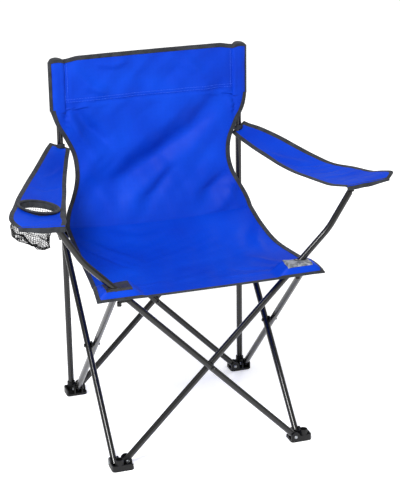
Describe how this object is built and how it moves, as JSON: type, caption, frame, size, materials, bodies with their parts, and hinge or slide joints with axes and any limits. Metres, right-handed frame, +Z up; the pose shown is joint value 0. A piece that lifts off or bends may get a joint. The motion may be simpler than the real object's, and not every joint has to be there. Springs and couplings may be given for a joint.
{
  "type": "folding camp chair",
  "caption": "Folding camp armchair: crossed steel tubes on plastic hubs carry a fabric seat, back and arms, with a mesh cup holder in one arm.",
  "frame": {"origin": "on the floor at the middle of the chair's footprint", "axes": "+X to the right of a viewer facing the seat, +Y towards the back, +Z up"},
  "size_m": [0.833, 0.4436, 0.805],
  "materials": {
    "black_paint": "gloss powder coat",
    "black_plastic": "moulded, satin",
    "zinc_rivet": "zinc plated",
    "blue_fabric": "woven polyester",
    "black_net": "knitted mesh"
  },
  "bodies": {
    "root": {"foot_rear_left": "black_plastic", "foot_rear_left_rivet_end": "zinc_rivet", "foot_rear_left_rivet_side": "zinc_rivet", "post_left": "black_paint", "post_cap_left": "black_plastic", "back_sleeve_left": "blue_fabric", "back_panel": "blue_fabric"},
    "left_tube_inner": {"left_tube_inner": "black_paint", "left_cross_rivet": "zinc_rivet", "left_cross_spacer": "black_plastic"},
    "left_tube_outer": {"left_tube_outer": "black_paint"},
    "foot_front_left": {"foot_front_left": "black_plastic", "foot_front_left_rivet_end": "zinc_rivet", "foot_front_left_rivet_side": "zinc_rivet"},
    "slider_left": {"slider_left": "black_plastic", "slider_left_rivet_end": "zinc_rivet", "slider_left_rivet_side": "zinc_rivet"},
    "corner_left": {"corner_left": "black_plastic", "corner_left_rivet_end": "zinc_rivet", "corner_left_rivet_side": "zinc_rivet"},
    "rear_tube_outer": {"rear_tube_outer": "black_paint", "rear_cross_rivet": "zinc_rivet", "rear_cross_spacer": "black_plastic"},
    "rear_tube_inner": {"rear_tube_inner": "black_paint"},
    "foot_rear_right": {"foot_rear_right": "black_plastic", "foot_rear_right_rivet_end": "zinc_rivet", "foot_rear_right_rivet_side": "zinc_rivet", "post_right": "black_paint", "post_cap_right": "black_plastic", "back_sleeve_right": "blue_fabric"},
    "slider_right": {"slider_right": "black_plastic", "slider_right_rivet_end": "zinc_rivet", "slider_right_rivet_side": "zinc_rivet"},
    "front_tube_right_arm": {"front_tube_right_arm": "black_paint", "arm_tip_cap_right": "black_plastic", "front_cross_rivet": "zinc_rivet", "front_cross_spacer": "black_plastic"},
    "front_tube_left_arm": {"front_tube_left_arm": "black_paint", "arm_tip_cap_left": "black_plastic"},
    "foot_front_right": {"foot_front_right": "black_plastic", "foot_front_right_rivet_end": "zinc_rivet", "foot_front_right_rivet_side": "zinc_rivet"},
    "right_tube_outer": {"right_tube_outer": "black_paint", "right_cross_rivet": "zinc_rivet", "right_cross_spacer": "black_plastic"},
    "right_tube_inner": {"right_tube_inner": "black_paint"},
    "corner_right": {"corner_right": "black_plastic", "corner_right_rivet_end": "zinc_rivet", "corner_right_rivet_side": "zinc_rivet"},
    "seat_left": {"seat_left": "blue_fabric"},
    "seat_right": {"seat_right": "blue_fabric"},
    "armrest_left": {"armrest_left": "blue_fabric", "cup_ring": "black_plastic", "cup_net": "black_net"},
    "armrest_right": {"armrest_right": "blue_fabric"}
  },
  "joints": [
    {"name": "fold", "type": "hinge", "parent": "root", "child": "left_tube_inner", "pos_m": [-0.2013, 0.191, 0.013], "axis": [-1, 0, 0], "range_deg": [0, 36.5]},
    {"name": "left_cross", "type": "hinge", "parent": "left_tube_inner", "child": "left_tube_outer", "pos_m": [-0.21, 0, 0.207], "axis": [-1, 0, 0], "range_deg": [-73.2, 0]},
    {"name": "front_left_foot_pivot", "type": "hinge", "parent": "left_tube_outer", "child": "foot_front_left", "pos_m": [-0.2187, -0.191, 0.013], "axis": [-1, 0, 0], "range_deg": [0, 36.7]},
    {"name": "left_slider_pivot", "type": "hinge", "parent": "left_tube_outer", "child": "slider_left", "pos_m": [-0.2187, 0.191, 0.401], "axis": [-1, 0, 0], "range_deg": [0, 36.7]},
    {"name": "left_corner_pivot", "type": "hinge", "parent": "left_tube_inner", "child": "corner_left", "pos_m": [-0.2013, -0.191, 0.401], "axis": [-1, 0, 0], "range_deg": [-36.7, 0]},
    {"name": "rear_left_foot_pivot", "type": "hinge", "parent": "root", "child": "rear_tube_outer", "pos_m": [-0.191, 0.2087, 0.013], "axis": [0, -1, 0], "range_deg": [0, 36.7], "deforming": ["back_panel"]},
    {"name": "rear_cross", "type": "hinge", "parent": "rear_tube_outer", "child": "rear_tube_inner", "pos_m": [0, 0.2, 0.207], "axis": [0, -1, 0], "range_deg": [-73.2, 0]},
    {"name": "rear_right_foot_pivot", "type": "hinge", "parent": "rear_tube_inner", "child": "foot_rear_right", "pos_m": [0.191, 0.1913, 0.013], "axis": [0, -1, 0], "range_deg": [0, 36.7]},
    {"name": "right_slider_pivot", "type": "hinge", "parent": "rear_tube_outer", "child": "slider_right", "pos_m": [0.191, 0.2087, 0.401], "axis": [0, -1, 0], "range_deg": [-36.7, 0]},
    {"name": "front_left_foot_arm_pivot", "type": "hinge", "parent": "foot_front_left", "child": "front_tube_right_arm", "pos_m": [-0.191, -0.1913, 0.013], "axis": [0, -1, 0], "range_deg": [0, 36.7]},
    {"name": "front_cross", "type": "hinge", "parent": "front_tube_right_arm", "child": "front_tube_left_arm", "pos_m": [0, -0.2, 0.207], "axis": [0, -1, 0], "range_deg": [-73.2, 0]},
    {"name": "front_right_foot_pivot", "type": "hinge", "parent": "front_tube_left_arm", "child": "foot_front_right", "pos_m": [0.191, -0.2087, 0.013], "axis": [0, -1, 0], "range_deg": [0, 36.7]},
    {"name": "rear_right_foot_side_pivot", "type": "hinge", "parent": "foot_rear_right", "child": "right_tube_outer", "pos_m": [0.2187, 0.191, 0.013], "axis": [-1, 0, 0], "range_deg": [0, 36.7]},
    {"name": "right_cross", "type": "hinge", "parent": "right_tube_outer", "child": "right_tube_inner", "pos_m": [0.21, 0, 0.207], "axis": [-1, 0, 0], "range_deg": [-73.2, 0]},
    {"name": "right_corner_pivot", "type": "hinge", "parent": "right_tube_outer", "child": "corner_right", "pos_m": [0.2187, -0.191, 0.401], "axis": [-1, 0, 0], "range_deg": [-36.7, 0]},
    {"name": "seat_left_droop", "type": "hinge", "parent": "slider_left", "child": "seat_left", "pos_m": [-0.192, 0, 0.421], "axis": [0, 1, 0], "range_deg": [0, 76.2], "deforming": ["seat_left"]},
    {"name": "seat_right_droop", "type": "hinge", "parent": "slider_right", "child": "seat_right", "pos_m": [0.192, 0, 0.421], "axis": [0, -1, 0], "range_deg": [0, 76.2], "deforming": ["seat_right"]},
    {"name": "armrest_left_lift", "type": "hinge", "parent": "root", "child": "armrest_left", "pos_m": [-0.212, 0.205, 0.607], "axis": [-0.9417, 0.2297, 0.2459], "range_deg": [0, 63.7], "deforming": ["armrest_left", "cup_net", "cup_ring"]},
    {"name": "armrest_right_lift", "type": "hinge", "parent": "foot_rear_right", "child": "armrest_right", "pos_m": [0.212, 0.205, 0.607], "axis": [-0.9432, -0.242, -0.2278], "range_deg": [0, 68.3], "deforming": ["armrest_right"]}
  ],
  "couplings": [
    {"joint": "left_cross", "follows": "fold", "ratio": -2},
    {"joint": "front_left_foot_pivot", "follows": "fold", "ratio": 1},
    {"joint": "left_slider_pivot", "follows": "fold", "ratio": 1},
    {"joint": "left_corner_pivot", "follows": "fold", "ratio": -1},
    {"joint": "rear_left_foot_pivot", "follows": "fold", "ratio": 1},
    {"joint": "rear_cross", "follows": "fold", "ratio": -2},
    {"joint": "rear_right_foot_pivot", "follows": "fold", "ratio": 1},
    {"joint": "right_slider_pivot", "follows": "fold", "ratio": -1},
    {"joint": "front_left_foot_arm_pivot", "follows": "fold", "ratio": 1},
    {"joint": "front_cross", "follows": "fold", "ratio": -2},
    {"joint": "front_right_foot_pivot", "follows": "fold", "ratio": 1},
    {"joint": "rear_right_foot_side_pivot", "follows": "fold", "ratio": 1},
    {"joint": "right_cross", "follows": "fold", "ratio": -2},
    {"joint": "right_corner_pivot", "follows": "fold", "ratio": -1},
    {"joint": "seat_left_droop", "follows": "fold", "ratio": 2.0822},
    {"joint": "seat_right_droop", "follows": "fold", "ratio": 2.0822},
    {"joint": "armrest_left_lift", "follows": "fold", "ratio": 1.7385},
    {"joint": "armrest_right_lift", "follows": "fold", "ratio": 1.8666}
  ]
}
